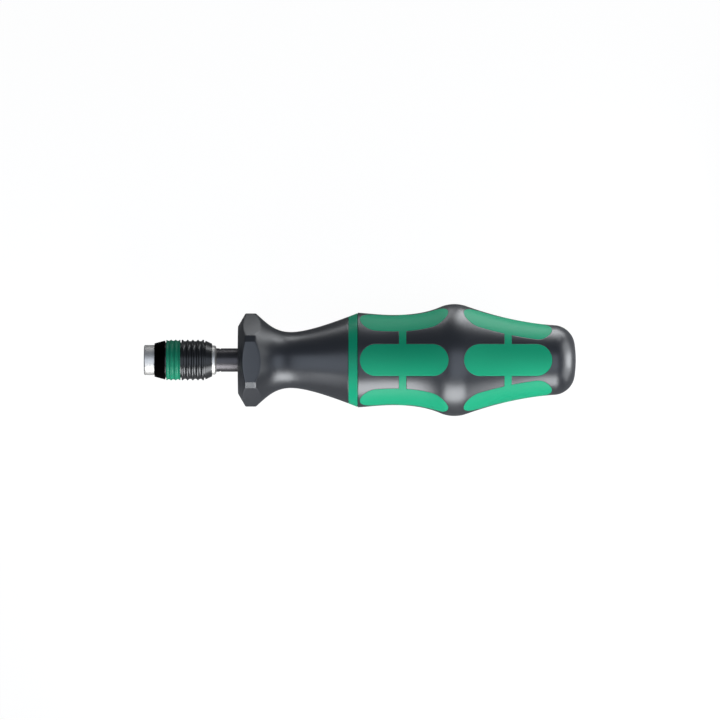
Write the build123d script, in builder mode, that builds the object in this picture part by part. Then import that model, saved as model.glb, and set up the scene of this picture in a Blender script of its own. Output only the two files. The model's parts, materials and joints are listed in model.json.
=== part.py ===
from build123d import *
import math
import os

# Torque screwdriver with a quick-release chuck for hexagon bits. The tool lies
# along X: the mouth of the bit socket is at the origin, the handle is towards
# +X and one flat of the hexagon flange faces down. Lengths are in millimetres.

os.makedirs("parts", exist_ok=True)

# Fits
running_gap = 0.05
pressed_gap = 0.02
end_play = 0.05
edge_break = 0.15

# Bit holder
socket_flats = 6.40
socket_depth = 13.0
socket_lead_in = 0.6
nose_length = 3.87
nose_radius = 5.40
nose_round = 0.5
barrel_radius = 4.60
holder_length = 26.0
holder_bore_radius = 3.45
holder_end_chamfer = 0.25

# Locking balls and the snap ring that the collar's spring leans on
ball_radius = 0.90
ball_station = 8.5
ball_grip_radius = 3.25
ball_travel = 0.40
ball_hole_gap = 0.04
clip_station = 12.2
clip_thickness = 0.6
clip_groove_depth = 0.4
clip_height = 0.95
clip_opening = 3.0

# Locking collar
collar_travel = 2.6
collar_front = 6.7
collar_radius = 5.95
collar_chamber_radius = 5.30
collar_lip_start = 20.2
collar_step = 22.2
collar_tail_radius = 5.20
taper_lead = 1.0
taper_tail = 0.75
collar_recess = 0.02
collar_wire_radius = 0.22
collar_spring_turns = 7

# Outer sleeve of the chuck, with its front cap and coloured ring
sleeve_end = 24.42
cap_start = 3.77
cap_length = 3.84
cap_front_radius = 6.01
cap_rear_radius = 7.04
cap_land = 2.83
tube_radius = 6.35
seam_width = 0.40
ring_length = 5.02
crest_radius = 7.29
ring_crests = 4
ring_pitch = 1.63
ring_scallop_depth = 0.36
ring_scallop_width = 1.34
rib_seam_width = 0.47
ribbed_length = 8.01
rib_crests = 5
rib_pitch = 1.84
rib_scallop_depth = 0.52
rib_scallop_width = 1.52
rib_edge_round = 0.2
rear_groove_width = 0.50
rear_groove_radius = 6.40
rear_cone_front_radius = 7.00
rear_cone_end_radius = 5.89
stop_ring_radius = 5.24
stop_ring_length = 1.40
stop_ring_chamfer = 0.45

# Ejector in the bottom of the socket
ejector_reach = 1.5
ejector_boss_radius = 3.0
ejector_flange_length = 1.0
magnet_radius = 2.2
magnet_length = 1.6
ejector_wire_radius = 0.25
ejector_spring_radius = 2.85
ejector_spring_turns = 7

# Output shaft
shaft_radius = 4.21
shaft_exposed = 7.75
spigot_length = 5.5
shaft_groove_start = 1.1
shaft_groove_width = 0.5
shaft_groove_depth = 0.2
shaft_hex_flats = 6.9
pilot_radius = 3.0
pilot_length = 9.0

# Front housing with the hexagon flange
flange_face_radius = 12.1
flange_chamfer_angle = 30.0
flange_flats = 30.2
flange_corner_flats = 33.4
flange_turned_radius = 17.2
flange_back = 5.82
flange_edge_round = 0.6
bell_slope = -0.80
bell_reach = 0.27
neck_front_reach = 0.493
neck_from_face = 18.95
neck_radius = 10.06
neck_rear_reach = 0.27
flare_slope = 0.376
flare_reach = 0.305
housing_length = 39.64
housing_end_radius = 15.60
face_lip = 1.25
face_lip_gap = 0.3
spigot_radius = 12.9
spigot_reach = 7.5

# Bushes of the output shaft
bush_radius = 6.0
bush_length = 10.0

# Trim ring
trim_length = 3.30
trim_end_radius = 16.88
trim_rear_round = 0.25

# Handle core
core_start_radius = 17.00
core_start_slope = -0.049
core_start_reach = 0.27
waist_from_trim = 12.7
waist_radius = 16.19
waist_front_reach = 0.374
waist_rear_reach = 0.329
bulge_from_trim = 34.71
bulge_radius = 20.10
crown_radius = 13.0
crown_front_angle = 23.5
crown_front_reach = 0.309
crown_rear_angle = 19.8
crown_rear_reach = 0.256
tail_from_trim = 70.71
tail_radius = 12.51
tail_slope = -0.06
tail_front_reach = 0.371
tail_rear_reach = 0.471
dome_radius = 39.0
dome_edge_radius = 5.9
dome_edge_reach = 0.585
core_length = 78.31

# Soft grip zones, in two rows round the handle
zones_in_row = 6
zone_length = 31.6
zone_width = 11.42
zone_depth = 1.2
zone_clocking = 2.45
front_row_offset = 0.79
rear_row_offset = 37.95
bridge_width = 2.59
front_bridge_from_zone = 13.98
rear_bridge_from_zone = 14.53

# Clutch in its steel sleeve
clutch_inset = 7.39
clutch_to_end = 16.5
clutch_sleeve_radius = 10.5
clutch_bore_radius = 9.0
clutch_wall = 3.0
thrust_washer_length = 2.0
detents = 12
clutch_ball_count = 6
clutch_ball_radius = 1.5
clutch_ball_circle = 6.6
cam_length = 6.0
cam_radius = 8.8
detent_depth = 1.0
detent_gap = 0.08
driver_gap = 0.7
driver_length = 7.3
cam_clip_length = 0.7
cam_clip_height = 1.2
cam_clip_groove = 0.5
keys = 3
key_width = 2.8
key_radius = 9.7
keyway_gap = 0.1

# Main spring, setting nut and setting screw
spring_wire_radius = 1.1
spring_mean_radius = 6.4
spring_turns = 8
spring_seat_gap = 0.2
spring_seat_length = 2.0
nut_length = 8.0
nut_travel = 3.0
nut_end_gap = 0.5
screw_radius = 3.0
screw_reach = 24.0
screw_end_chamfer = 0.75
screw_collar_radius = 5.5
screw_collar_length = 2.0
screw_washer_length = 1.0
journal_radius = 4.0
journal_reach = 8.5
key_socket_flats = 4.0
key_socket_depth = 4.0
rear_plate_length = 3.4
circlip_length = 1.0
circlip_land = 1.4
circlip_height = 1.6
circlip_opening = 5.0
circlip_groove_depth = 0.65

# Key hole in the handle's end and its plug
key_hole_radius = 4.6
plug_radius = 5.6
plug_head_length = 3.0
plug_stem_length = 6.0
plug_stem_wall = 1.35

# Stations worked out along the axis
shaft_start = holder_length
housing_front = shaft_start + shaft_exposed
neck_station = housing_front + neck_from_face
housing_end = housing_front + housing_length
core_front = housing_end + trim_length
waist_station = core_front + waist_from_trim
bulge_station = core_front + bulge_from_trim
tail_station = core_front + tail_from_trim
handle_end = core_front + core_length
front_row_start = core_front + front_row_offset
rear_row_start = core_front + rear_row_offset

sleeve_tube_start = cap_start + cap_land
cap_end = cap_start + cap_length
ring_start = cap_end + seam_width
ring_end = ring_start + ring_length
ribbed_start = ring_end + rib_seam_width
ribbed_end = ribbed_start + ribbed_length
rear_cone_start = ribbed_end + rear_groove_width
collar_end = sleeve_end - collar_recess
stop_ring_start = collar_end + end_play

ball_centre_radius = ball_grip_radius + ball_radius
taper_slope = ball_travel / collar_travel
taper_at_ball = ball_centre_radius + ball_radius * math.hypot(1, taper_slope) + running_gap
taper_start = ball_station - taper_lead
taper_end = ball_station + collar_travel + taper_tail

spigot_start = holder_length - spigot_length
ejector_front = socket_depth - ejector_reach
ejector_flange_start = socket_depth + end_play
ejector_flange_end = ejector_flange_start + ejector_flange_length

clutch_front = housing_end - clutch_inset
bush_front = housing_front + face_lip
rear_bush_front = clutch_front - bush_length

clutch_wall_end = clutch_front + clutch_wall
clutch_end = handle_end - clutch_to_end
cam_front = clutch_wall_end + thrust_washer_length + end_play
cam_rear = cam_front + cam_length
detent_station = cam_rear + clutch_ball_radius - detent_depth
driver_front = cam_rear + driver_gap
driver_rear = driver_front + driver_length
circlip_start = clutch_end - circlip_land - circlip_length
rear_plate_end = circlip_start - end_play
rear_plate_start = rear_plate_end - rear_plate_length
screw_washer_start = rear_plate_start - end_play - screw_washer_length
screw_collar_end = screw_washer_start - end_play
screw_collar_start = screw_collar_end - screw_collar_length
screw_end = screw_collar_end + journal_reach
nut_rear = screw_collar_start - nut_end_gap - nut_travel
nut_front = nut_rear - nut_length
spring_seat_radius = spring_mean_radius - spring_wire_radius - spring_seat_gap

zone_angles = [90 - zone_clocking + 360 / zones_in_row * step for step in range(zones_in_row)]


def ring(start, end, inner, outer):
    """Half section of a plain ring round the tool's axis."""
    with BuildSketch() as section:
        with Locations((start, inner)):
            Rectangle(end - start, outer - inner, align=(Align.MIN, Align.MIN))
    return section.sketch


def cone(start, start_radius, end, end_radius, inner):
    """Half section of a ring whose outside runs straight from one radius to another."""
    with BuildSketch() as section:
        with BuildLine():
            Polyline((start, inner), (start, start_radius), (end, end_radius), (end, inner), close=True)
        make_face()
    return section.sketch


def ribbed(start, end, inner, crests, pitch, depth, width):
    """Half section of a ribbed ring: round valleys between evenly spaced crests."""
    valley_round = (width**2 / 4 + depth**2) / (2 * depth)
    first_valley = (start + end - pitch * (crests - 2)) / 2
    valleys = [
        (first_valley + pitch * step, crest_radius - depth + valley_round)
        for step in range(crests - 1)
    ]
    with BuildSketch() as section:
        with Locations((start, inner)):
            Rectangle(end - start, crest_radius - inner, align=(Align.MIN, Align.MIN))
        with Locations(*valleys):
            Circle(valley_round, mode=Mode.SUBTRACT)
        crest_corners = section.vertices().group_by(Axis.Y)[-1].sort_by(Axis.X)
        fillet([crest_corners[0], crest_corners[-1]], rib_edge_round)
    return section.sketch


def rim(part, station, radius):
    """The round edges of a part at one station along the axis, with one radius."""
    circles = part.edges().filter_by(GeomType.CIRCLE)
    here = circles.filter_by(lambda edge: math.isclose(edge.arc_center.X, station, abs_tol=end_play / 2))
    return here.filter_by(lambda edge: math.isclose(edge.radius, radius, abs_tol=pressed_gap / 2))


def easing(start, start_slope, start_reach, end, end_slope, end_reach):
    """Curve between two (station, radius) points, with a slope at each end.

    Each reach says how far its slope is felt, as a share of the run between the points.
    """
    run = end[0] - start[0]
    return Bezier(
        start,
        (start[0] + start_reach * run, start[1] + start_slope * start_reach * run),
        (end[0] - end_reach * run, end[1] - end_slope * end_reach * run),
        end,
    )


def coil(start, end, mean_radius, wire_radius, turns):
    """Compression spring between two stations, its end turns ground flat."""
    with BuildPart() as spring:
        with BuildLine() as centre_line:
            Helix(
                pitch=(end - start) / turns,
                height=end - start,
                radius=mean_radius,
                center=(start, 0, 0),
                direction=(1, 0, 0),
            )
        with BuildSketch(Plane(origin=centre_line.line @ 0, z_dir=centre_line.line % 0)):
            Circle(wire_radius)
        sweep(path=centre_line.line, is_frenet=True)
        split(bisect_by=Plane.YZ.offset(start), keep=Keep.TOP)
        split(bisect_by=Plane.YZ.offset(end), keep=Keep.BOTTOM)
    return spring.part


def handle_section(inset):
    """Half section of the whole handle, with its side drawn in by the inset."""
    crown_centre = (bulge_station, bulge_radius - inset - crown_radius)
    dome_edge_station = handle_end - dome_radius + math.sqrt(dome_radius**2 - dome_edge_radius**2)
    dome_edge_slope = dome_edge_radius / math.sqrt(dome_radius**2 - dome_edge_radius**2)
    start = (core_front, core_start_radius - inset)
    waist = (waist_station, waist_radius - inset)
    tail = (tail_station, tail_radius - inset)
    dome_edge = (dome_edge_station, dome_edge_radius)
    end_run = dome_edge_station - tail_station
    end_drop = tail[1] - dome_edge_radius
    with BuildSketch() as section:
        with BuildLine():
            crown = CenterArc(
                crown_centre,
                crown_radius,
                90 - crown_rear_angle,
                crown_rear_angle + crown_front_angle,
            )
            crown_rear = crown @ 0
            crown_front = crown @ 1
            easing(
                start,
                core_start_slope,
                core_start_reach,
                waist,
                0,
                waist_front_reach,
            )
            easing(
                waist,
                0,
                waist_rear_reach,
                (crown_front.X, crown_front.Y),
                math.tan(math.radians(crown_front_angle)),
                crown_front_reach,
            )
            easing(
                (crown_rear.X, crown_rear.Y),
                -math.tan(math.radians(crown_rear_angle)),
                crown_rear_reach,
                tail,
                tail_slope,
                tail_front_reach,
            )
            Bezier(
                tail,
                (tail[0] + tail_rear_reach * end_run, tail[1] + tail_slope * tail_rear_reach * end_run),
                (
                    dome_edge_station - dome_edge_slope * dome_edge_reach * end_drop,
                    dome_edge_radius + dome_edge_reach * end_drop,
                ),
                dome_edge,
            )
            RadiusArc(dome_edge, (handle_end, 0), dome_radius)
            Polyline((handle_end, 0), (core_front, 0), start)
        make_face()
    return section.sketch


# Bit holder: turned steel body with the hexagon socket
with BuildPart() as bit_holder:
    revolve(ring(0, nose_length, 0, nose_radius), axis=Axis.X)
    fillet(bit_holder.edges().group_by(Axis.X)[0], nose_round)
    revolve(ring(nose_length, holder_length, 0, barrel_radius), axis=Axis.X)
    chamfer(bit_holder.edges().group_by(Axis.X)[-1], holder_end_chamfer)
    with BuildSketch(Plane.YZ):
        RegularPolygon(socket_flats / 2, 6, major_radius=False)
    extrude(amount=socket_depth, mode=Mode.SUBTRACT)
    revolve(
        cone(0, socket_flats / math.sqrt(3) + socket_lead_in, 2 * socket_lead_in, socket_flats / 2, 0),
        axis=Axis.X,
        mode=Mode.SUBTRACT,
    )
    revolve(ring(socket_depth, holder_length, 0, holder_bore_radius), axis=Axis.X, mode=Mode.SUBTRACT)
    with Locations(Plane.XZ):
        with Locations((ball_station, 0)):
            Cylinder(ball_radius + ball_hole_gap, 2 * nose_radius, mode=Mode.SUBTRACT)
    revolve(
        ring(
            clip_station,
            clip_station + clip_thickness + pressed_gap,
            barrel_radius - clip_groove_depth,
            nose_radius,
        ),
        axis=Axis.X,
        mode=Mode.SUBTRACT,
    )
bit_holder.part.label = "bit_holder"
export_step(bit_holder.part, "parts/bit_holder.step")

# Stop ring: pressed on the holder's rear end, it stops the collar and sleeve
with BuildPart() as stop_ring:
    revolve(
        ring(
            stop_ring_start,
            stop_ring_start + stop_ring_length,
            barrel_radius + pressed_gap,
            stop_ring_radius,
        ),
        axis=Axis.X,
    )
    rear_edges = stop_ring.edges().group_by(Axis.X)[-1]
    chamfer(rear_edges.sort_by(SortBy.RADIUS)[-1], stop_ring_chamfer)
stop_ring.part.label = "stop_ring"
export_step(stop_ring.part, "parts/stop_ring.step")

# Snap ring in the holder's groove, open at the top
with BuildPart() as spring_clip:
    revolve(
        ring(
            clip_station,
            clip_station + clip_thickness,
            barrel_radius - clip_groove_depth + pressed_gap,
            barrel_radius - clip_groove_depth + clip_height,
        ),
        axis=Axis.X,
    )
    with Locations((clip_station, 0, 0)):
        Box(
            2 * clip_thickness,
            clip_opening,
            2 * nose_radius,
            align=(Align.CENTER, Align.CENTER, Align.MIN),
            mode=Mode.SUBTRACT,
        )
spring_clip.part.label = "spring_clip"
export_step(spring_clip.part, "parts/spring_clip.step")

# Locking balls, one on each side, standing in two corners of the hexagon
for side, name in ((1, "lock_ball_left"), (-1, "lock_ball_right")):
    with BuildPart() as lock_ball:
        with Locations((ball_station, side * ball_centre_radius, 0)):
            Sphere(ball_radius)
    lock_ball.part.label = name
    export_step(lock_ball.part, f"parts/{name}.step")

# Locking collar: its taper holds the balls in and frees them as it goes forward
with BuildPart() as locking_collar:
    revolve(
        ring(collar_front, collar_step, barrel_radius + running_gap, collar_radius),
        axis=Axis.X,
    )
    revolve(
        ring(collar_step, collar_end, barrel_radius + running_gap, collar_tail_radius),
        axis=Axis.X,
    )
    revolve(
        cone(
            taper_start,
            taper_at_ball - taper_slope * (ball_station - taper_start),
            taper_end,
            taper_at_ball + taper_slope * (taper_end - ball_station),
            0,
        ),
        axis=Axis.X,
        mode=Mode.SUBTRACT,
    )
    revolve(
        ring(taper_end, collar_lip_start, 0, collar_chamber_radius),
        axis=Axis.X,
        mode=Mode.SUBTRACT,
    )
locking_collar.part.label = "locking_collar"
export_step(locking_collar.part, "parts/locking_collar.step")

# Collar spring, between the snap ring and the collar's rear lip
collar_spring = coil(
    clip_station + clip_thickness,
    collar_lip_start,
    (barrel_radius + collar_chamber_radius) / 2,
    collar_wire_radius,
    collar_spring_turns,
)
collar_spring.label = "collar_spring"
export_step(collar_spring, "parts/collar_spring.step")

# Chuck sleeve: ribbed rear part and the thin tube that carries the ring and cap
with BuildPart() as chuck_sleeve:
    revolve(
        ring(sleeve_tube_start, ribbed_start, collar_radius + running_gap, tube_radius),
        axis=Axis.X,
    )
    revolve(
        ribbed(
            ribbed_start,
            ribbed_end,
            collar_radius + running_gap,
            rib_crests,
            rib_pitch,
            rib_scallop_depth,
            rib_scallop_width,
        ),
        axis=Axis.X,
    )
    revolve(
        ring(ribbed_end, rear_cone_start, collar_radius + running_gap, rear_groove_radius),
        axis=Axis.X,
    )
    revolve(
        cone(
            rear_cone_start,
            rear_cone_front_radius,
            sleeve_end,
            rear_cone_end_radius,
            collar_tail_radius + running_gap,
        ),
        axis=Axis.X,
    )
    fillet(rim(chuck_sleeve, rear_cone_start, rear_cone_front_radius), edge_break)
    fillet(rim(chuck_sleeve, sleeve_end, rear_cone_end_radius), edge_break)
    revolve(
        ring(rear_cone_start, collar_step + end_play, 0, collar_radius + running_gap),
        axis=Axis.X,
        mode=Mode.SUBTRACT,
    )
chuck_sleeve.part.label = "chuck_sleeve"
export_step(chuck_sleeve.part, "parts/chuck_sleeve.step")

# Coloured ring slid on the sleeve's tube
with BuildPart() as sleeve_ring:
    revolve(
        ribbed(
            ring_start,
            ring_end,
            tube_radius + pressed_gap,
            ring_crests,
            ring_pitch,
            ring_scallop_depth,
            ring_scallop_width,
        ),
        axis=Axis.X,
    )
sleeve_ring.part.label = "sleeve_ring"
export_step(sleeve_ring.part, "parts/sleeve_ring.step")

# Front cap pressed on the tube: it keeps the sleeve on the collar
with BuildPart() as sleeve_cap:
    revolve(
        cone(cap_start, cap_front_radius, cap_end, cap_rear_radius, nose_radius + 2 * running_gap),
        axis=Axis.X,
    )
    revolve(
        ring(sleeve_tube_start, cap_end, 0, tube_radius + pressed_gap),
        axis=Axis.X,
        mode=Mode.SUBTRACT,
    )
    fillet(rim(sleeve_cap, cap_start, cap_front_radius), edge_break)
    fillet(rim(sleeve_cap, cap_end, cap_rear_radius), edge_break)
sleeve_cap.part.label = "sleeve_cap"
export_step(sleeve_cap.part, "parts/sleeve_cap.step")

# Ejector plunger, with the magnet in its front and the spring behind it
with BuildPart() as ejector_plunger:
    revolve(ring(ejector_front, ejector_flange_start, 0, ejector_boss_radius), axis=Axis.X)
    revolve(
        ring(ejector_flange_start, ejector_flange_end, 0, holder_bore_radius - running_gap),
        axis=Axis.X,
    )
    revolve(
        ring(ejector_front, ejector_front + magnet_length, 0, magnet_radius + pressed_gap),
        axis=Axis.X,
        mode=Mode.SUBTRACT,
    )
ejector_plunger.part.label = "ejector_plunger"
export_step(ejector_plunger.part, "parts/ejector_plunger.step")

with BuildPart() as ejector_magnet:
    revolve(ring(ejector_front, ejector_front + magnet_length, 0, magnet_radius), axis=Axis.X)
ejector_magnet.part.label = "ejector_magnet"
export_step(ejector_magnet.part, "parts/ejector_magnet.step")

ejector_spring = coil(
    ejector_flange_end,
    spigot_start,
    ejector_spring_radius,
    ejector_wire_radius,
    ejector_spring_turns,
)
ejector_spring.label = "ejector_spring"
export_step(ejector_spring, "parts/ejector_spring.step")

# Output shaft: spigot in the bit holder, journal, hexagon for the cam and pilot
with BuildPart() as output_shaft:
    revolve(ring(spigot_start, shaft_start, 0, holder_bore_radius - pressed_gap), axis=Axis.X)
    revolve(ring(shaft_start, cam_front, 0, shaft_radius), axis=Axis.X)
    with BuildSketch(Plane.YZ.offset(cam_front)):
        RegularPolygon(shaft_hex_flats / 2, 6, major_radius=False)
    extrude(amount=cam_length)
    revolve(ring(cam_rear, cam_rear + pilot_length, 0, pilot_radius), axis=Axis.X)
    revolve(
        ring(
            shaft_start + shaft_groove_start,
            shaft_start + shaft_groove_start + shaft_groove_width,
            shaft_radius - shaft_groove_depth,
            shaft_radius + shaft_groove_depth,
        ),
        axis=Axis.X,
        mode=Mode.SUBTRACT,
    )
    revolve(
        ring(cam_rear, cam_rear + cam_clip_length + end_play, pilot_radius - cam_clip_groove, pilot_radius),
        axis=Axis.X,
        mode=Mode.SUBTRACT,
    )
output_shaft.part.label = "output_shaft"
export_step(output_shaft.part, "parts/output_shaft.step")

# Front housing: chamfered hexagon flange, slim neck and the flare to the handle
with BuildPart() as front_housing:
    chamfer_rise = flange_turned_radius - flange_face_radius
    chamfer_run = chamfer_rise * math.tan(math.radians(flange_chamfer_angle))
    face_edge = (housing_front, flange_face_radius)
    turned_front = (housing_front + chamfer_run, flange_turned_radius)
    turned_back = (housing_front + flange_back, flange_turned_radius)
    neck = (neck_station, neck_radius)
    rear_edge = (housing_end, housing_end_radius)
    with BuildSketch():
        with BuildLine():
            Polyline((housing_front, 0), face_edge, turned_front, turned_back)
            easing(turned_back, bell_slope, bell_reach, neck, 0, neck_front_reach)
            easing(neck, 0, neck_rear_reach, rear_edge, flare_slope, flare_reach)
            Polyline(rear_edge, (housing_end, 0), (housing_front, 0))
        make_face()
    revolve(axis=Axis.X)
    fillet(rim(front_housing, housing_front, flange_face_radius), edge_break)
    fillet(rim(front_housing, housing_end, housing_end_radius), edge_break)
    for across_flats, turn in ((flange_flats, 0), (flange_corner_flats, 30)):
        with BuildSketch(Plane.YZ.offset(housing_front)):
            Circle(flange_turned_radius + edge_break)
            RegularPolygon(across_flats / 2, 6, major_radius=False, rotation=turn, mode=Mode.SUBTRACT)
        extrude(amount=neck_from_face, mode=Mode.SUBTRACT)
    flats = front_housing.faces().filter_by(GeomType.PLANE).filter_by(Axis.X, reverse=True)
    fillet(flats.edges(), flange_edge_round)
    revolve(ring(housing_end, core_front + spigot_reach, 0, spigot_radius), axis=Axis.X)
    revolve(
        ring(housing_front, bush_front, 0, shaft_radius + face_lip_gap),
        axis=Axis.X,
        mode=Mode.SUBTRACT,
    )
    revolve(ring(bush_front, clutch_front, 0, bush_radius + pressed_gap), axis=Axis.X, mode=Mode.SUBTRACT)
    revolve(
        ring(clutch_front, core_front + spigot_reach, 0, clutch_sleeve_radius + pressed_gap),
        axis=Axis.X,
        mode=Mode.SUBTRACT,
    )
front_housing.part.label = "front_housing"
export_step(front_housing.part, "parts/front_housing.step")

# Bushes that carry the output shaft
for start, name in ((bush_front, "front_bush"), (rear_bush_front, "rear_bush")):
    with BuildPart() as bush:
        revolve(ring(start, start + bush_length, shaft_radius + running_gap, bush_radius), axis=Axis.X)
    bush.part.label = name
    export_step(bush.part, f"parts/{name}.step")

# Trim ring between housing and handle
with BuildPart() as trim_ring:
    revolve(
        cone(housing_end, housing_end_radius, core_front, trim_end_radius, spigot_radius + pressed_gap),
        axis=Axis.X,
    )
    fillet(rim(trim_ring, housing_end, housing_end_radius), edge_break)
    fillet(rim(trim_ring, core_front, trim_end_radius), trim_rear_round)
trim_ring.part.label = "trim_ring"
export_step(trim_ring.part, "parts/trim_ring.step")

# The handle's full form, and the same form drawn in by the depth of the soft zones
with BuildPart() as handle_form:
    revolve(handle_section(0), axis=Axis.X)

with BuildPart() as zone_floor:
    revolve(handle_section(zone_depth), axis=Axis.X)


def grip_row(row_start, bridge_start):
    """One row of soft zones, joined round the handle by a narrow bridge."""
    zone_middle = row_start + zone_length / 2
    with BuildPart() as row:
        for angle in zone_angles:
            outward = Vector(0, math.cos(math.radians(angle)), math.sin(math.radians(angle)))
            with BuildSketch(Plane(origin=(zone_middle, 0, 0), x_dir=(1, 0, 0), z_dir=outward)):
                SlotOverall(zone_length, zone_width)
            extrude(amount=bulge_radius + zone_depth)
        revolve(ring(bridge_start, bridge_start + bridge_width, 0, bulge_radius + zone_depth), axis=Axis.X)
        add(handle_form.part, mode=Mode.INTERSECT)
        add(zone_floor.part, mode=Mode.SUBTRACT)
    return row.part


front_grip = grip_row(front_row_start, front_row_start + front_bridge_from_zone)
front_grip.label = "front_grip"
export_step(front_grip, "parts/front_grip.step")

rear_grip = grip_row(rear_row_start, rear_row_start + rear_bridge_from_zone)
rear_grip.label = "rear_grip"
export_step(rear_grip, "parts/rear_grip.step")

# Handle core: hard plastic with pockets for the soft zones
with BuildPart() as handle_core:
    add(handle_form.part)
    add(front_grip, mode=Mode.SUBTRACT)
    add(rear_grip, mode=Mode.SUBTRACT)
    revolve(
        ring(core_front, core_front + spigot_reach + end_play, 0, spigot_radius + pressed_gap),
        axis=Axis.X,
        mode=Mode.SUBTRACT,
    )
    revolve(
        ring(core_front, clutch_end + end_play, 0, clutch_sleeve_radius + pressed_gap),
        axis=Axis.X,
        mode=Mode.SUBTRACT,
    )
    revolve(ring(clutch_end, handle_end, 0, key_hole_radius), axis=Axis.X, mode=Mode.SUBTRACT)
    revolve(
        ring(handle_end - plug_head_length, handle_end, 0, plug_radius + running_gap),
        axis=Axis.X,
        mode=Mode.SUBTRACT,
    )
handle_core.part.label = "handle_core"
export_step(handle_core.part, "parts/handle_core.step")

# End plug over the key hole, flush with the domed end
with BuildPart() as end_plug:
    revolve(
        ring(handle_end - plug_head_length + end_play, handle_end, 0, plug_radius),
        axis=Axis.X,
    )
    add(handle_form.part, mode=Mode.INTERSECT)
    revolve(
        ring(
            handle_end - plug_head_length - plug_stem_length,
            handle_end - plug_head_length + end_play,
            key_hole_radius - running_gap - plug_stem_wall,
            key_hole_radius - running_gap,
        ),
        axis=Axis.X,
    )
end_plug.part.label = "end_plug"
export_step(end_plug.part, "parts/end_plug.step")

# Clutch sleeve: steel tube with keyways, closed in front round the shaft
with BuildPart() as clutch_sleeve:
    revolve(ring(clutch_front, clutch_end, 0, clutch_sleeve_radius), axis=Axis.X)
    revolve(
        ring(clutch_front, clutch_wall_end, 0, shaft_radius + face_lip_gap),
        axis=Axis.X,
        mode=Mode.SUBTRACT,
    )
    revolve(ring(clutch_wall_end, clutch_end, 0, clutch_bore_radius), axis=Axis.X, mode=Mode.SUBTRACT)
    with BuildSketch(Plane.YZ.offset(driver_front - end_play)):
        with PolarLocations(key_radius / 2, keys):
            Rectangle(key_radius + 2 * keyway_gap, key_width + 2 * keyway_gap)
    extrude(amount=clutch_end - driver_front + end_play, mode=Mode.SUBTRACT)
    revolve(
        ring(
            circlip_start,
            circlip_start + circlip_length + end_play,
            0,
            clutch_bore_radius + circlip_groove_depth,
        ),
        axis=Axis.X,
        mode=Mode.SUBTRACT,
    )
clutch_sleeve.part.label = "clutch_sleeve"
export_step(clutch_sleeve.part, "parts/clutch_sleeve.step")

# Thrust washer between the sleeve's front wall and the cam plate
with BuildPart() as thrust_washer:
    revolve(
        ring(
            clutch_wall_end,
            clutch_wall_end + thrust_washer_length,
            shaft_radius + 2 * running_gap,
            cam_radius,
        ),
        axis=Axis.X,
    )
thrust_washer.part.label = "thrust_washer"
export_step(thrust_washer.part, "parts/thrust_washer.step")

# Cam plate: a ring of detents that the clutch balls rest in
with BuildPart() as cam_plate:
    revolve(ring(cam_front, cam_rear, 0, cam_radius), axis=Axis.X)
    with BuildSketch(Plane.YZ.offset(cam_front)):
        RegularPolygon(shaft_hex_flats / 2 + pressed_gap, 6, major_radius=False)
    extrude(amount=cam_length, mode=Mode.SUBTRACT)
    with Locations(Plane.YZ.offset(detent_station)):
        with PolarLocations(clutch_ball_circle, detents):
            Sphere(clutch_ball_radius + detent_gap, mode=Mode.SUBTRACT)
cam_plate.part.label = "cam_plate"
export_step(cam_plate.part, "parts/cam_plate.step")

# Snap ring that keeps the cam plate on the shaft, open at the top
with BuildPart() as cam_clip:
    revolve(
        ring(
            cam_rear + end_play / 2,
            cam_rear + end_play / 2 + cam_clip_length,
            pilot_radius - cam_clip_groove + pressed_gap,
            pilot_radius - cam_clip_groove + cam_clip_height,
        ),
        axis=Axis.X,
    )
    with Locations((cam_rear, 0, 0)):
        Box(
            3 * cam_clip_length,
            pilot_radius,
            2 * pilot_radius,
            align=(Align.CENTER, Align.CENTER, Align.MIN),
            mode=Mode.SUBTRACT,
        )
cam_clip.part.label = "cam_clip"
export_step(cam_clip.part, "parts/cam_clip.step")

# Clutch balls, one in each pocket of the driver plate
with BuildPart() as clutch_balls:
    with Locations(Plane.YZ.offset(detent_station)):
        with PolarLocations(clutch_ball_circle, clutch_ball_count):
            Sphere(clutch_ball_radius)
clutch_balls.part.label = "clutch_balls"
export_step(clutch_balls.part, "parts/clutch_balls.step")

# Driver plate: keyed in the sleeve, pushed forward by the main spring
with BuildPart() as driver_plate:
    revolve(ring(driver_front, driver_rear, 0, clutch_bore_radius - running_gap), axis=Axis.X)
    with BuildSketch(Plane.YZ.offset(driver_front)):
        with PolarLocations(key_radius / 2, keys):
            Rectangle(key_radius, key_width)
    extrude(amount=driver_length)
    revolve(ring(driver_rear, driver_rear + spring_seat_length, 0, spring_seat_radius), axis=Axis.X)
    revolve(
        ring(driver_front, driver_rear + spring_seat_length, 0, pilot_radius + running_gap),
        axis=Axis.X,
        mode=Mode.SUBTRACT,
    )
    revolve(
        ring(
            driver_front,
            driver_front + 2 * cam_clip_length,
            0,
            pilot_radius - cam_clip_groove + cam_clip_height + running_gap,
        ),
        axis=Axis.X,
        mode=Mode.SUBTRACT,
    )
    with Locations(Plane.YZ.offset(detent_station)):
        with PolarLocations(clutch_ball_circle, clutch_ball_count):
            Sphere(clutch_ball_radius + pressed_gap, mode=Mode.SUBTRACT)
driver_plate.part.label = "driver_plate"
export_step(driver_plate.part, "parts/driver_plate.step")

# Main spring, between the driver plate and the setting nut
main_spring = coil(driver_rear, nut_front, spring_mean_radius, spring_wire_radius, spring_turns)
main_spring.label = "main_spring"
export_step(main_spring, "parts/main_spring.step")

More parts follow.
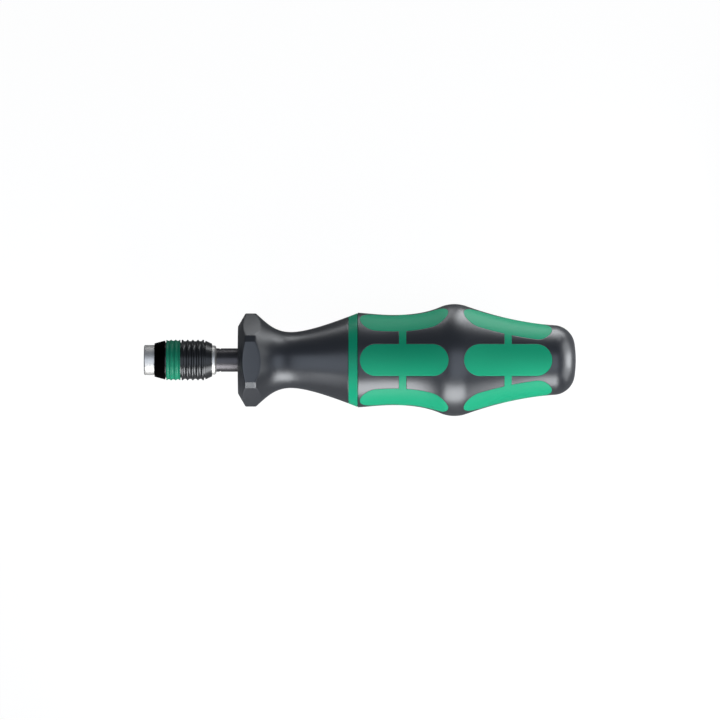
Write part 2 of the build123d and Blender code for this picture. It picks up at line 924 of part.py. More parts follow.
# Setting nut: keyed in the sleeve, it moves along as the screw turns
with BuildPart() as setting_nut:
    revolve(ring(nut_front, nut_rear, 0, clutch_bore_radius - running_gap), axis=Axis.X)
    with BuildSketch(Plane.YZ.offset(nut_front)):
        with PolarLocations(key_radius / 2, keys):
            Rectangle(key_radius, key_width)
    extrude(amount=nut_length)
    revolve(ring(nut_front - spring_seat_length, nut_front, 0, spring_seat_radius), axis=Axis.X)
    revolve(
        ring(nut_front - spring_seat_length, nut_rear, 0, screw_radius + running_gap),
        axis=Axis.X,
        mode=Mode.SUBTRACT,
    )
setting_nut.part.label = "setting_nut"
export_step(setting_nut.part, "parts/setting_nut.step")

# Setting screw: threaded shank, thrust collar and journal with the key socket
with BuildPart() as setting_screw:
    revolve(ring(screw_collar_start - screw_reach, screw_collar_start, 0, screw_radius), axis=Axis.X)
    chamfer(setting_screw.edges().group_by(Axis.X)[0], screw_end_chamfer)
    revolve(ring(screw_collar_start, screw_collar_end, 0, screw_collar_radius), axis=Axis.X)
    revolve(ring(screw_collar_end, screw_end, 0, journal_radius), axis=Axis.X)
    with BuildSketch(Plane.YZ.offset(screw_end)):
        RegularPolygon(key_socket_flats / 2, 6, major_radius=False)
    extrude(amount=-key_socket_depth, mode=Mode.SUBTRACT)
setting_screw.part.label = "setting_screw"
export_step(setting_screw.part, "parts/setting_screw.step")

# Washer under the setting screw's collar
with BuildPart() as screw_washer:
    revolve(
        ring(
            screw_washer_start,
            screw_washer_start + screw_washer_length,
            journal_radius + running_gap,
            clutch_bore_radius - running_gap,
        ),
        axis=Axis.X,
    )
screw_washer.part.label = "screw_washer"
export_step(screw_washer.part, "parts/screw_washer.step")

# Rear plate that takes the spring's load, and the circlip behind it
with BuildPart() as rear_plate:
    revolve(
        ring(
            rear_plate_start,
            rear_plate_end,
            journal_radius + running_gap,
            clutch_bore_radius - pressed_gap,
        ),
        axis=Axis.X,
    )
rear_plate.part.label = "rear_plate"
export_step(rear_plate.part, "parts/rear_plate.step")

with BuildPart() as circlip:
    circlip_outer_radius = clutch_bore_radius + circlip_groove_depth - pressed_gap
    revolve(
        ring(
            circlip_start,
            circlip_start + circlip_length,
            circlip_outer_radius - circlip_height,
            circlip_outer_radius,
        ),
        axis=Axis.X,
    )
    with Locations((circlip_start, 0, 0)):
        Box(
            3 * circlip_length,
            circlip_opening,
            2 * clutch_bore_radius,
            align=(Align.CENTER, Align.CENTER, Align.MIN),
            mode=Mode.SUBTRACT,
        )
circlip.part.label = "circlip"
export_step(circlip.part, "parts/circlip.step")
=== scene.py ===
import json
import math
from bisect import bisect_right
import bmesh
import bpy
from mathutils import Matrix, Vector


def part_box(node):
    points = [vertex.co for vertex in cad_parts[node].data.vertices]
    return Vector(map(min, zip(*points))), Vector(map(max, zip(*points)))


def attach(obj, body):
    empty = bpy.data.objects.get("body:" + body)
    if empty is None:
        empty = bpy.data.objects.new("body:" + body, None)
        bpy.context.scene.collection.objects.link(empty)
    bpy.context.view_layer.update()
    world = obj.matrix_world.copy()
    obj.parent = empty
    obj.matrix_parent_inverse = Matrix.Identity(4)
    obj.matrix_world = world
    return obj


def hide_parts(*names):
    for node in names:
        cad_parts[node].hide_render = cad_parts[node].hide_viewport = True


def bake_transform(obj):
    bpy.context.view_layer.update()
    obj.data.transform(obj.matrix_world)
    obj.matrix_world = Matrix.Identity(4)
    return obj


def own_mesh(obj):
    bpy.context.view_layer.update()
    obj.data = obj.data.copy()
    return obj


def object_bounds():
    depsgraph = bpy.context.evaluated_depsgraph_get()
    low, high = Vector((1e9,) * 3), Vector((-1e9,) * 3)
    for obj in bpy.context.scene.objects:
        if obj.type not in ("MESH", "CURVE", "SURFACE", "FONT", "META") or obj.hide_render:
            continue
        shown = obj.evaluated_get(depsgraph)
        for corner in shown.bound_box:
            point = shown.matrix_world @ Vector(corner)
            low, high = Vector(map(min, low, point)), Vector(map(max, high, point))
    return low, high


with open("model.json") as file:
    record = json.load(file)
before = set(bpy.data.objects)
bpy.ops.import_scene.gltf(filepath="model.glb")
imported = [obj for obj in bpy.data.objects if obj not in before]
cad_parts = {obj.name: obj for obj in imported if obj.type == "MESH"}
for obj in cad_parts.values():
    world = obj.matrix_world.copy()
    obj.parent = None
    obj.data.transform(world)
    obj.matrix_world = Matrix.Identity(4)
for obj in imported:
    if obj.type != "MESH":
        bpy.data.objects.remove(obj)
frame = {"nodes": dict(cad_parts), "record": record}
cad_low, cad_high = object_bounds()

# Torque screwdriver lying along X, seen from above. Everything is in metres,
# MM turns a size given in millimetres into metres, and angles are in degrees.
MM = 0.001

# What the photograph shows: its width at the object, the point of the object in
# its middle, and how far the soft zones are turned from straight up.
photo_width = 258.52 * MM
photo_centre = Vector((77.52, 0.01, 0)) * MM
zone_clocking = 2.45
lens_length = 400.0


# Camera, floor and light

def make_camera():
    """Camera straight above the upper soft zones, far off with a long lens."""
    data = bpy.data.cameras.new("camera")
    data.lens = lens_length
    distance = photo_width * data.lens / data.sensor_width
    turn = math.radians(zone_clocking)
    back = Vector((0, math.sin(turn), math.cos(turn)))
    camera = bpy.data.objects.new("camera", data)
    camera.location = photo_centre + back * distance
    camera.rotation_euler = (-turn, 0, 0)
    data.clip_start = 0.1
    data.clip_end = 20
    bpy.context.scene.collection.objects.link(camera)
    bpy.context.scene.camera = camera


def area_light(name, radiance, place, size, target, tint=(0.97, 1.0, 1.03)):
    """Soft rectangular lamp that looks at a target and isn't seen by the camera."""
    # Blender's rectangle has a radiance of 1 at this power for each square metre
    unit_power = 4
    data = bpy.data.lights.new(name, "AREA")
    data.shape = "RECTANGLE"
    data.size, data.size_y = size
    data.energy = unit_power * data.size * data.size_y * radiance
    data.color = tint
    lamp = bpy.data.objects.new(name, data)
    lamp.location = place
    away = place - target
    lamp.rotation_mode = "QUATERNION"
    lamp.rotation_quaternion = away.to_track_quat("Z", "Y")
    lamp.visible_camera = False
    bpy.context.scene.collection.objects.link(lamp)


def round_the_axis(station, angle, distance):
    """Point beside the tool, at an angle from straight up towards the photograph's bottom."""
    turn = math.radians(angle)
    return Vector((station, -distance * math.sin(turn), distance * math.cos(turn)))


def make_world():
    """White for the camera, and a dim even studio for everything else."""
    world = bpy.data.worlds.new("studio")
    bpy.context.scene.world = world
    world.use_nodes = True
    nodes, links = world.node_tree.nodes, world.node_tree.links
    nodes.clear()
    path = nodes.new("ShaderNodeLightPath")
    studio = nodes.new("ShaderNodeBackground")
    studio.inputs["Color"].default_value = (0.8, 0.92, 1.1, 1)
    studio.inputs["Strength"].default_value = 0.14
    white = nodes.new("ShaderNodeBackground")
    white.inputs["Color"].default_value = (1, 1, 1, 1)
    mix = nodes.new("ShaderNodeMixShader")
    out = nodes.new("ShaderNodeOutputWorld")
    links.new(path.outputs["Is Camera Ray"], mix.inputs[0])
    links.new(studio.outputs[0], mix.inputs[1])
    links.new(white.outputs[0], mix.inputs[2])
    links.new(mix.outputs[0], out.inputs["Surface"])


def calculate(nodes, links, operation, first, second):
    """Output of a math node on an output and a second one, or on an output and a number."""
    node = nodes.new("ShaderNodeMath")
    node.operation = operation
    links.new(first, node.inputs[0])
    if isinstance(second, float):
        node.inputs[1].default_value = second
    else:
        links.new(second, node.inputs[1])
    return node.outputs[0]


def make_floor():
    """Wide floor just under the widest part of the handle.

    It is white and faintly shaded for the camera, and a calm grey for the light it throws back.
    """
    reach = 12.0
    height = cad_low.z - 0.02 * MM
    white_for_camera = 0.88
    white_in_mirrors = 0.06
    mesh = bpy.data.meshes.new("floor")
    corners = [(x * reach, y * reach, height) for x, y in ((-1, -1), (1, -1), (1, 1), (-1, 1))]
    mesh.from_pydata(corners, [], [(0, 1, 2, 3)])
    floor = bpy.data.objects.new("floor", mesh)
    bpy.context.scene.collection.objects.link(floor)

    material = bpy.data.materials.new("pale_floor")
    material.use_nodes = True
    nodes, links = material.node_tree.nodes, material.node_tree.links
    nodes.clear()
    path = nodes.new("ShaderNodeLightPath")
    camera, glossy = path.outputs["Is Camera Ray"], path.outputs["Is Glossy Ray"]
    tone = nodes.new("ShaderNodeMapRange")
    tone.inputs["To Min"].default_value = 0.22
    tone.inputs["To Max"].default_value = 0.9
    links.new(camera, tone.inputs["Value"])
    shaded = nodes.new("ShaderNodeBsdfDiffuse")
    links.new(tone.outputs["Result"], shaded.inputs["Color"])
    white = nodes.new("ShaderNodeEmission")
    white.inputs["Strength"].default_value = 1.09
    mirrored = calculate(nodes, links, "MAXIMUM", glossy, path.outputs["Is Transmission Ray"])
    dimmed = calculate(nodes, links, "MULTIPLY", mirrored, white_in_mirrors)
    seen = calculate(nodes, links, "MULTIPLY", camera, white_for_camera)
    mix = nodes.new("ShaderNodeMixShader")
    out = nodes.new("ShaderNodeOutputMaterial")
    links.new(calculate(nodes, links, "MAXIMUM", dimmed, seen), mix.inputs[0])
    links.new(shaded.outputs[0], mix.inputs[1])
    links.new(white.outputs[0], mix.inputs[2])
    links.new(mix.outputs[0], out.inputs["Surface"])
    mesh.materials.append(material)


def make_lamps():
    """Lamps at the photograph's bottom side, above the tool, at its top side and beyond its handle."""
    area_light("key", 4.0, round_the_axis(115 * MM, 69, 165 * MM), (154 * MM, 112 * MM),
               target=Vector((115, 0, 0)) * MM)
    area_light("key_front", 5.4, Vector((17, -58, 22)) * MM, (16 * MM, 55 * MM),
               target=Vector((17, 0, 0)) * MM)
    for name, station, width in (("top_front", -17 * MM, 124 * MM), ("top_rear", 139 * MM, 102 * MM)):
        area_light(name, 0.64, round_the_axis(station, 7, 100 * MM), (width, 95 * MM),
                   target=Vector((station, 0, 0)), tint=(0.88, 0.98, 1.14))

    # These lie just above the floor and face up: the highlights at the top side come from below
    low_height = -19
    for name, radiance, x, y, size in (
        ("low_chuck", 0.6, 2, 160, (48 * MM, 180 * MM)),
        ("low_front", 2.8, 49, 168, (34 * MM, 186 * MM)),
        ("low_middle", 0.95, 90, 125, (44 * MM, 160 * MM)),
        ("low_rear", 3.4, 158, 190, (78 * MM, 284 * MM)),
    ):
        place = Vector((x, y, low_height)) * MM
        area_light(name, radiance, place, size, target=Vector((x, y, 0)) * MM)

    area_light("far", 2.2, Vector((240, 345, 16)) * MM, (200 * MM, 68 * MM),
               target=Vector((240, 0, 16)) * MM)
    area_light("end", 3.0, Vector((200, 0, 13)) * MM, (30 * MM, 30 * MM),
               target=Vector((150, 0, 13)) * MM)
    area_light("end_wide", 1.5, Vector((205, 0, 17)) * MM, (120 * MM, 55 * MM),
               target=Vector((150, 0, 17)) * MM)


make_camera()
make_world()
make_floor()
make_lamps()
bpy.context.scene.view_settings.view_transform = "Standard"


# Materials

def new_material(name):
    """New material with its nodes, its links and its Principled shader."""
    material = bpy.data.materials.new(name)
    material.use_nodes = True
    nodes = material.node_tree.nodes
    return material, nodes, material.node_tree.links, nodes["Principled BSDF"]


def noise(nodes, links, place, scale, detail):
    """Output of a noise over the places that another output gives."""
    texture = nodes.new("ShaderNodeTexNoise")
    texture.inputs["Scale"].default_value = scale
    texture.inputs["Detail"].default_value = detail
    links.new(place, texture.inputs["Vector"])
    return texture.outputs["Fac"]


def fine_bumps(nodes, links, surface, height, strength, depth):
    """Bump node that raises the surface by a height."""
    bump = nodes.new("ShaderNodeBump")
    bump.inputs["Strength"].default_value = strength
    bump.inputs["Distance"].default_value = depth
    links.new(height, bump.inputs["Height"])
    links.new(bump.outputs["Normal"], surface.inputs["Normal"])
    return bump


def uneven(nodes, links, surface, patches, colour, roughness, tone_change, gloss_change):
    """Gives the surface a colour and a gloss that vary a little from patch to patch."""
    gloss = nodes.new("ShaderNodeMapRange")
    gloss.inputs["To Min"].default_value = roughness - gloss_change
    gloss.inputs["To Max"].default_value = roughness + gloss_change
    links.new(patches, gloss.inputs["Value"])
    links.new(gloss.outputs["Result"], surface.inputs["Roughness"])

    # The Mix node's two colours are its inputs 6 and 7, and their mix is its output 2
    tone = nodes.new("ShaderNodeMix")
    tone.data_type = "RGBA"
    tone.inputs[6].default_value = (*[(1 - tone_change) * c for c in colour], 1)
    tone.inputs[7].default_value = (*[(1 + tone_change) * c for c in colour], 1)
    links.new(patches, tone.inputs[0])
    links.new(tone.outputs[2], surface.inputs["Base Color"])


def moulded(name, colour, roughness, grain=1.0, gloss_level=0.5, ior=1.5, edge_round=0.0):
    """Moulded plastic with fine eroded grain, and softened edges where edge_round is given."""
    material, nodes, links, surface = new_material(name)
    surface.inputs["Specular IOR Level"].default_value = gloss_level
    surface.inputs["IOR"].default_value = ior
    place = nodes.new("ShaderNodeTexCoord").outputs["Object"]
    eroded = noise(nodes, links, place, scale=4200, detail=3)
    bump = fine_bumps(nodes, links, surface, eroded, strength=0.25 * grain, depth=0.01 * MM)
    if edge_round:
        soft_edge = nodes.new("ShaderNodeBevel")
        soft_edge.samples = 6
        soft_edge.inputs["Radius"].default_value = edge_round
        links.new(soft_edge.outputs["Normal"], bump.inputs["Normal"])
    patches = noise(nodes, links, place, scale=60, detail=4)
    uneven(nodes, links, surface, patches, colour, roughness, tone_change=0.06, gloss_change=0.04)
    return material


def turned(name, colour, roughness, lines=1.0):
    """Turned metal with fine lines round the tool's axis."""
    material, nodes, links, surface = new_material(name)
    surface.inputs["Metallic"].default_value = 1.0
    place = nodes.new("ShaderNodeTexCoord").outputs["Object"]
    split = nodes.new("ShaderNodeSeparateXYZ")
    links.new(place, split.inputs[0])
    flat = nodes.new("ShaderNodeCombineXYZ")
    links.new(split.outputs["Y"], flat.inputs["Y"])
    links.new(split.outputs["Z"], flat.inputs["Z"])
    radius = nodes.new("ShaderNodeVectorMath")
    radius.operation = "LENGTH"
    links.new(flat.outputs[0], radius.inputs[0])
    cut = nodes.new("ShaderNodeCombineXYZ")
    links.new(split.outputs["X"], cut.inputs["X"])
    links.new(radius.outputs["Value"], cut.inputs["Y"])
    tool_marks = noise(nodes, links, cut.outputs[0], scale=9000, detail=2)
    fine_bumps(nodes, links, surface, tool_marks, strength=0.2 * lines, depth=0.004 * MM)
    patches = noise(nodes, links, place, scale=300, detail=4)
    uneven(nodes, links, surface, patches, colour, roughness, tone_change=0.1, gloss_change=0.05)
    return material


finishes = {
    "chuck_steel": turned("chuck_steel", (0.87, 0.84, 0.8), 0.48),
    "shaft_steel": turned("shaft_steel", (0.115, 0.108, 0.112), 0.36),
    "ball_steel": turned("ball_steel", (0.7, 0.7, 0.7), 0.12, lines=0.2),
    "spring_steel": turned("spring_steel", (0.4, 0.4, 0.41), 0.3),
    "machined_steel": turned("machined_steel", (0.5, 0.5, 0.5), 0.3),
    "bronze": turned("bronze", (0.55, 0.35, 0.16), 0.38),
    "black_sleeve": moulded("black_sleeve", (0.0035, 0.0035, 0.004), 0.3, grain=0.6, gloss_level=0.9),
    "black_cap": moulded("black_cap", (0.0009, 0.0006, 0.0008), 0.6, grain=0.6, gloss_level=0.02),
    "green_ring": moulded("green_ring", (0.004, 0.24, 0.125), 0.45, grain=0.6, gloss_level=0.35),
    "magnet_metal": turned("magnet_metal", (0.6, 0.6, 0.62), 0.2),
    "plunger_plastic": moulded("plunger_plastic", (0.03, 0.03, 0.03), 0.45),
    "black_plastic": moulded("black_plastic", (0.0065, 0.0075, 0.012), 0.35,
                             gloss_level=1.0, ior=1.6, edge_round=0.35 * MM),
    "green_trim": moulded("green_trim", (0.0, 0.38, 0.19), 0.4, grain=0.7, gloss_level=0.3),
    "green_grip": moulded("green_grip", (0.0, 0.395, 0.19), 0.5, gloss_level=0.35),
}

slot_of = {part["node"]: part["material_slot"] for part in frame["record"]["subparts"]}
body_of = {
    node: body for body, nodes in frame["record"]["behaviour"]["bodies"].items() for node in nodes
}
for name, node in frame["nodes"].items():
    for slot in node.material_slots:
        slot.material = finishes[slot_of[name]]


# Meshes

sharp_angle = 35.0


def new_piece(name, points, faces, node, rides=True):
    """Closed smooth mesh that stands for a CAD node and takes its finish, and its body if it rides."""
    mesh = bpy.data.meshes.new(name)
    mesh.from_pydata(points, [], faces)
    shape = bmesh.new()
    shape.from_mesh(mesh)
    bmesh.ops.recalc_face_normals(shape, faces=shape.faces)
    shape.to_mesh(mesh)
    shape.free()
    mesh.shade_smooth()
    mesh.set_sharp_from_angle(angle=math.radians(sharp_angle))
    piece = bpy.data.objects.new(name, mesh)
    bpy.context.scene.collection.objects.link(piece)
    mesh.materials.append(finishes[slot_of[node]])
    if rides:
        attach(piece, body_of[node])
    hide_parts(node)
    return piece


def steps_between(first, last, count):
    """Evenly spaced values from first to last, both included."""
    return [first + (last - first) * step / count for step in range(count + 1)]


# Handle: a surface of revolution with flush soft zones let into it

# Stations and radii of its outside, from the front edge over waist, bulge and tail to the dome
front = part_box("handle_core")[0].x
waist_station = front + 12.7 * MM
bulge_station = front + 34.71 * MM
tail_station = front + 70.71 * MM
handle_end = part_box("end_plug")[1].x
front_edge_radius = 17.00 * MM
waist_radius = 16.19 * MM
bulge_radius = 20.10 * MM
crown_radius = 13.0 * MM
tail_radius = 12.51 * MM
dome_radius = 39.0 * MM
dome_edge_radius = 5.9 * MM

# Slopes and angles of the outside, and how far its curves keep to them, as shares of their runs
front_edge_slope = -0.049
front_edge_reach = 0.27
waist_reaches = (0.374, 0.329)
crown_angles = (23.5, 19.8)
crown_reaches = (0.309, 0.256)
tail_slope = -0.06
tail_reaches = (0.371, 0.471)
dome_edge_reach = 0.585

# How finely the outside is stepped
segments = 144
curve_steps = 40
crown_steps = 60
dome_steps = 12
edge_steps = 4


def curve(start, start_pull, end_pull, end):
    """Points of a cubic curve in (station, radius), without its last point."""
    points = []
    for step in range(curve_steps):
        t = step / curve_steps
        s = 1 - t
        points.append(s**3 * start + 3 * s * s * t * start_pull + 3 * s * t * t * end_pull + t**3 * end)
    return points


def easing(start, start_slope, start_reach, end, end_slope, end_reach):
    """Curve between two (station, radius) points, with a slope at each end."""
    run = end.x - start.x
    start_pull = start + Vector((1, start_slope)) * (start_reach * run)
    end_pull = end - Vector((1, end_slope)) * (end_reach * run)
    return curve(start, start_pull, end_pull, end)


def handle_outline():
    """(station, radius) points of the handle's outside, from its front edge to the end of its dome."""
    crown_centre = Vector((bulge_station, bulge_radius - crown_radius))
    start = Vector((front, front_edge_radius))
    waist = Vector((waist_station, waist_radius))
    tail = Vector((tail_station, tail_radius))
    rise_angle, fall_angle = [math.radians(angle) for angle in crown_angles]
    rise, fall = math.tan(rise_angle), -math.tan(fall_angle)
    crown = [
        crown_centre + crown_radius * Vector((-math.sin(angle), math.cos(angle)))
        for angle in steps_between(rise_angle, -fall_angle, crown_steps)
    ]
    dome_depth = math.sqrt(dome_radius**2 - dome_edge_radius**2)
    dome_edge = Vector((handle_end - dome_radius + dome_depth, dome_edge_radius))
    dome_slope = dome_edge_radius / dome_depth
    end_run = dome_edge.x - tail.x
    end_drop = tail.y - dome_edge_radius
    points = easing(start, front_edge_slope, front_edge_reach, waist, 0, waist_reaches[0])
    points += easing(waist, 0, waist_reaches[1], crown[0], rise, crown_reaches[0])
    points += crown[:-1]
    points += easing(crown[-1], fall, crown_reaches[1], tail, tail_slope, tail_reaches[0])
    points += curve(
        tail,
        tail + Vector((1, tail_slope)) * (tail_reaches[1] * end_run),
        dome_edge + Vector((-dome_slope, 1)) * (dome_edge_reach * end_drop),
        dome_edge,
    )
    points += [
        Vector((handle_end - dome_radius + math.sqrt(dome_radius**2 - radius**2), radius))
        for radius in steps_between(dome_edge_radius, 0, dome_steps)
    ]
    return points


outline = handle_outline()
outline_stations = [point.x for point in outline]


def handle_radius(station):
    """Radius of the handle's outside at a station along the axis."""
    place = max(1, min(len(outline) - 1, bisect_right(outline_stations, station)))
    before, after = outline[place - 1], outline[place]
    return before.y + (after.y - before.y) * (station - before.x) / (after.x - before.x)


# The soft zones: two rows of rounded zones, each row joined by narrow bridges
zones_in_row = 6
zone_length = 31.6 * MM
zone_width = 11.42 * MM
zone_depth = 1.2 * MM
bridge_width = 2.59 * MM
row_offsets = {"front_grip": 0.79 * MM, "rear_grip": 37.95 * MM}
bridge_offsets = {"front_grip": 14.77 * MM, "rear_grip": 52.48 * MM}
seam = 0.09 * MM
seam_depth = 0.05 * MM
zone_turns = [90 - zone_clocking + 360 / zones_in_row * zone for zone in range(zones_in_row)]
half_field = 180 / zones_in_row

# Rings of a zone, as shares of its half width inside the seam, and the steps of its grid
ring_shares = (0.16, 0.32, 0.48, 0.64, 0.8, 0.91, 1)
side_steps = 12
bridge_steps = 4
cap_steps = 48
field_steps = 7

# Places on the skin are one point if they agree to this part of the seam's width and of a degree
seam_parts = 50
degree_parts = 1000


def spot(station, angle):
    """Key of a place on the skin, which is the same for places that differ only by rounding."""
    return round(station / seam * seam_parts), round(angle * degree_parts) % (360 * degree_parts)


class Skin:
    """Points of the handle, each known by its station, its angle round the axis and its radius."""

    def __init__(self):
        self.points = []
        self.known = {}

    def point(self, station, angle, radius):
        """Index of the point there, made when it is first asked for."""
        key = (*spot(station, angle), round(radius / seam * seam_parts))
        if key not in self.known:
            self.known[key] = len(self.points)
            turn = math.radians(angle)
            self.points.append((station, radius * math.cos(turn), radius * math.sin(turn)))
        return self.known[key]


def zone_cap(sign, middle, edge):
    """Entries round one end of a zone's outline, for zone_grid.

    An entry is (centre, is it on a side, direction out of the centre, place at the field's edge).
    """
    entries = []
    for step in range(1, cap_steps):
        if step <= cap_steps // 4:
            target = (middle + (edge - middle) * 4 * step / cap_steps, sign * half_field)
        elif step <= 3 * cap_steps // 4:
            target = (edge, sign * half_field * (2 - 4 * step / cap_steps))
        else:
            target = (middle + (edge - middle) * 4 * (cap_steps - step) / cap_steps, -sign * half_field)
        entries.append((middle, False, sign * 90 - 180 * step / cap_steps, target))
    return entries


def zone_grid(row_start, bridge_start, field_start, field_end):
    """Cells of one soft zone and the field round it, as ((station, angle) corners, is it soft).

    Angles are from the zone's middle. The grid follows the zone's rounded outline: rings run
    inwards to its middle line and outwards to the edges of the field.
    """
    half_width = zone_width / 2
    first = row_start + half_width
    last = row_start + zone_length - half_width
    bridge = (bridge_start, bridge_start + bridge_width)
    side = steps_between(first, bridge[0] - 2 * seam, side_steps)
    side += [bridge[0] - seam, bridge[0], bridge[0] + seam]
    side += steps_between(bridge[0] + 2 * seam, bridge[1] - 2 * seam, bridge_steps)
    side += [bridge[1] - seam, bridge[1], bridge[1] + seam]
    side += steps_between(bridge[1] + 2 * seam, last, side_steps)
    around = [(station, True, 90, (station, half_field)) for station in side]
    around += zone_cap(1, last, field_end)
    around += [(station, True, -90, (station, -half_field)) for station in reversed(side)]
    around += zone_cap(-1, first, field_start)

    def place(entry, offset):
        """(station, angle) of the point at that offset from the zone's outline."""
        centre, _, direction, _ = entry
        reach = half_width + offset
        station = centre + reach * math.cos(math.radians(direction))
        across = reach * math.sin(math.radians(direction))
        return station, math.degrees(math.asin(across / handle_radius(station)))

    inward = [0, -seam, -2 * seam] + [-half_width * share for share in ring_shares]
    offsets = [*reversed(inward), seam, 2 * seam]
    rings = [[place(entry, offset) for entry in around] for offset in offsets]
    outer = rings[-1]
    for step in range(1, field_steps + 1):
        share = step / field_steps
        rings.append([
            (here[0] + (target[0] - here[0]) * share, here[1] + (target[1] - here[1]) * share)
            for here, (_, _, _, target) in zip(outer, around)
        ])

    cells = []
    for level, (inner_ring, outer_ring) in enumerate(zip(rings, rings[1:])):
        inside = level < len(inward) - 1
        for step in range(len(around)):
            after = (step + 1) % len(around)
            middle = (around[step][0] + around[after][0]) / 2
            on_side = around[step][1] and around[after][1]
            soft = inside or (on_side and bridge[0] < middle < bridge[1])
            corners = (inner_ring[step], inner_ring[after], outer_ring[after], outer_ring[step])
            cells.append((corners, soft))
    return cells


def row_cells(row_start, bridge_start, field_start, field_end):
    """Cells of a whole row of zones, with real angles."""
    grid = zone_grid(row_start, bridge_start, field_start, field_end)
    return [
        ([(station, angle + turn) for station, angle in corners], soft)
        for turn in zone_turns
        for corners, soft in grid
    ]


def sunk(station, angle):
    """The pocket's point under one on the skin, straight in towards the middle plane of its zone."""
    turn = min(zone_turns, key=lambda value: abs((angle - value + 180) % 360 - 180))
    off = (angle - turn + 180) % 360 - 180
    radius = handle_radius(station)
    lower = radius - zone_depth
    across = radius * math.sin(math.radians(off))
    return station, turn + math.degrees(math.asin(across / lower)), lower


def core_inside(field_start):
    """(station, radius) points of the core that no row of zones covers.

    They run from the rear row's end over the dome, through the bore, and back to the front row.
    """
    play = 0.05 * MM
    press = 0.02 * MM
    plug_radius = 5.6 * MM + play
    plug_depth = 3.0 * MM
    key_hole_radius = 4.6 * MM
    bore_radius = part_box("clutch_sleeve")[1].z + press
    bore_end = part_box("clutch_sleeve")[1].x + play
    spigot_radius = 12.92 * MM
    spigot_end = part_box("front_housing")[1].x + play
    edge_round = 0.15 * MM
    dome_x = handle_end - dome_radius + math.sqrt(dome_radius**2 - plug_radius**2)
    front_radius = handle_radius(front + edge_round)

    rear = [Vector((tail_station, handle_radius(tail_station)))]
    rear += [
        point for point in outline
        if point.x > tail_station + seam and point.y > plug_radius + edge_round
    ]
    for angle in steps_between(0, math.pi / 2, edge_steps):
        inwards, down = 1 - math.cos(angle), 1 - math.sin(angle)
        rear.append(Vector((dome_x - edge_round * inwards, plug_radius + edge_round * down)))
    hole = [
        Vector((handle_end - plug_depth, plug_radius)),
        Vector((handle_end - plug_depth, key_hole_radius)),
        Vector((bore_end, key_hole_radius)),
        Vector((bore_end, bore_radius)),
        Vector((spigot_end, bore_radius)),
        Vector((spigot_end, spigot_radius)),
        Vector((front, spigot_radius)),
    ]
    front_round = []
    for angle in steps_between(math.pi / 2, 0, edge_steps):
        inwards, down = 1 - math.sin(angle), 1 - math.cos(angle)
        front_round.append(Vector((front + edge_round * inwards, front_radius - edge_round * down)))
    return rear + hole + front_round + [Vector((field_start, handle_radius(field_start)))]


def build_handle():
    """The core with its pockets, and the two rows of soft zones that fill them."""
    row_starts = {name: front + offset for name, offset in row_offsets.items()}
    between = (row_starts["front_grip"] + zone_length + row_starts["rear_grip"]) / 2
    field_start = (front + row_starts["front_grip"]) / 2
    fields = {"front_grip": (field_start, between), "rear_grip": (between, tail_station)}
    core, core_faces = Skin(), []

    for name, row_start in row_starts.items():
        cells = row_cells(row_start, front + bridge_offsets[name], *fields[name])
        kinds_at = {}
        for corners, soft in cells:
            for corner in corners:
                kinds_at.setdefault(spot(*corner), set()).add(soft)

        def skin_point(skin, station, angle):
            """Point on the outside, which lies lower where hard and soft cells meet."""
            on_seam = len(kinds_at[spot(station, angle)]) == 2
            return skin.point(station, angle, handle_radius(station) - (seam_depth if on_seam else 0))

        grip, grip_faces, edges = Skin(), [], {}
        for corners, soft in cells:
            upper = [skin_point(grip if soft else core, *corner) for corner in corners]
            upper_face = list(dict.fromkeys(upper))
            if not soft:
                core_faces.append(upper_face)
                continue
            places = [sunk(*corner) for corner in corners]
            grip_faces.append(upper_face)
            grip_faces.append(list(dict.fromkeys(grip.point(*place) for place in places)))
            core_faces.append(list(dict.fromkeys(core.point(*place) for place in places)))
            for index in range(4):
                ends = (corners[index], corners[(index + 1) % 4])
                edge = frozenset((upper[index], upper[(index + 1) % 4]))
                if len(edge) == 2:
                    edges.setdefault(edge, []).append(ends)

        # An edge of one soft cell alone lies on the rim, where walls run down to the pocket's floor
        for ends in edges.values():
            if len(ends) > 1:
                continue
            (first, second), = ends
            for skin, faces in ((grip, grip_faces), (core, core_faces)):
                faces.append([
                    skin_point(skin, *first),
                    skin_point(skin, *second),
                    skin.point(*sunk(*second)),
                    skin.point(*sunk(*first)),
                ])
        new_piece(name + "_soft", grip.points, grip_faces, name)

    turns = [zone_turns[0] - half_field + 360 / segments * step for step in range(segments)]
    inside = core_inside(field_start)
    for before, after in zip(inside, inside[1:]):
        for step in range(segments):
            around = (turns[step], turns[(step + 1) % segments])
            core_faces.append([
                core.point(before.x, around[0], before.y),
                core.point(before.x, around[1], before.y),
                core.point(after.x, around[1], after.y),
                core.point(after.x, around[0], after.y),
            ])
    new_piece("handle_core_shell", core.points, core_faces, "handle_core")


build_handle()


# Springs

spring_gap = 0.02 * MM
wire_steps = 48
wire_sides = 14
small_turn = 0.01

# In wire radii, so that a closed turn rises by a little more than the wire's width
closed_rise = 2.15


def spring_station(first, last, wire_radius, turns, turn):
    """Station of the wire's middle after that many turns, with one closed turn at each end."""
    rise = closed_rise * wire_radius
    if turn < 1:
        return first + rise * turn
    if turn > turns - 1:
        return last - rise * (turns - turn)
    share = (turn - 1) / (turns - 2)
    return first + rise + (last - first - 2 * rise) * share


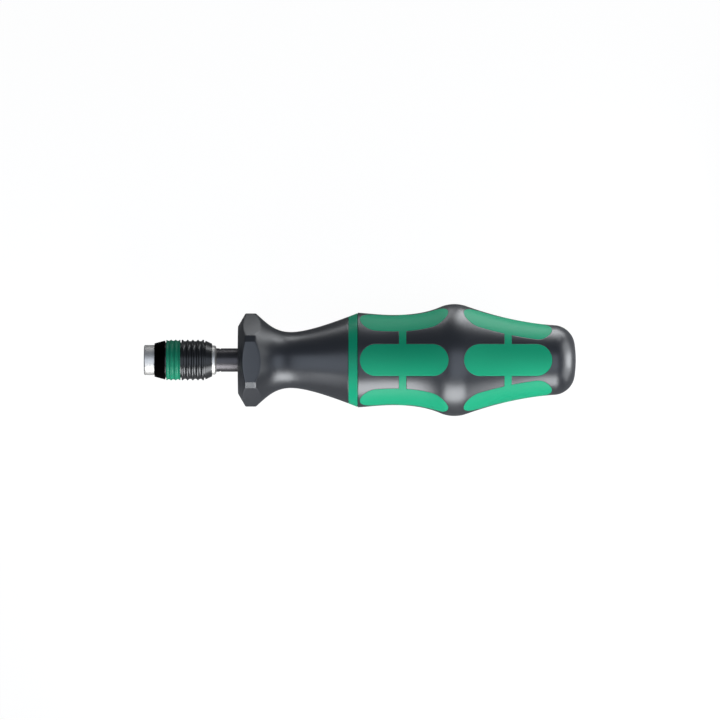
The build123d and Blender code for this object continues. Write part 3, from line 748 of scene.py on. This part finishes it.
def build_spring(name, node, wire_radius, turns, from_turn, to_turn, rides=True):
    """The turns of a compression spring from one to another, its end faces ground flat."""
    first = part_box(node)[0].x + spring_gap
    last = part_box(node)[1].x - spring_gap
    mean_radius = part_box(node)[1].z - wire_radius
    steps = round((to_turn - from_turn) * wire_steps)

    def middle(turn):
        """Middle of the wire after that many turns."""
        angle = 2 * math.pi * turn
        station = spring_station(first, last, wire_radius, turns, turn)
        return Vector((station, mean_radius * math.cos(angle), mean_radius * math.sin(angle)))

    points = []
    for step in range(steps + 1):
        turn = from_turn + step / wire_steps
        centre = middle(turn)
        outwards = Vector((0, centre.y, centre.z)).normalized()
        along = (middle(turn + small_turn) - middle(turn - small_turn)).normalized()
        across = outwards.cross(along)
        for side in range(wire_sides):
            angle = 2 * math.pi * side / wire_sides
            place = centre + wire_radius * (math.cos(angle) * outwards + math.sin(angle) * across)
            points.append((min(max(place.x, first), last), place.y, place.z))
    faces = []
    for row in range(0, steps * wire_sides, wire_sides):
        for side in range(wire_sides):
            after = (side + 1) % wire_sides
            next_row = row + wire_sides
            faces.append((row + side, row + after, next_row + after, next_row + side))
    faces.append(tuple(range(wire_sides)))
    faces.append(tuple(range(steps * wire_sides, (steps + 1) * wire_sides)))
    return new_piece(name, points, faces, node, rides=rides)


def shorten(piece):
    """Gives a spring its own copy of its mesh."""
    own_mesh(piece)


chuck_turns = 7
collar_wire = 0.22 * MM
ejector_wire = 0.25 * MM
main_wire = 1.1 * MM
main_turns = 8
front_turns = 2

collar_coil = build_spring(
    "collar_spring_coil", "collar_spring", collar_wire, chuck_turns, 0, chuck_turns
)
shorten(collar_coil)
ejector_coil = build_spring(
    "ejector_spring_coil", "ejector_spring", ejector_wire, chuck_turns, 0, chuck_turns
)
shorten(ejector_coil)

# The driver plate presses the main spring's front turns, and the setting nut moves the others
front_coil = build_spring("main_spring_front", "main_spring", main_wire, main_turns, 0, front_turns)
shorten(front_coil)
rear_coil = build_spring(
    "main_spring_rear", "main_spring", main_wire, main_turns, front_turns, main_turns, rides=False
)
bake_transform(rear_coil)
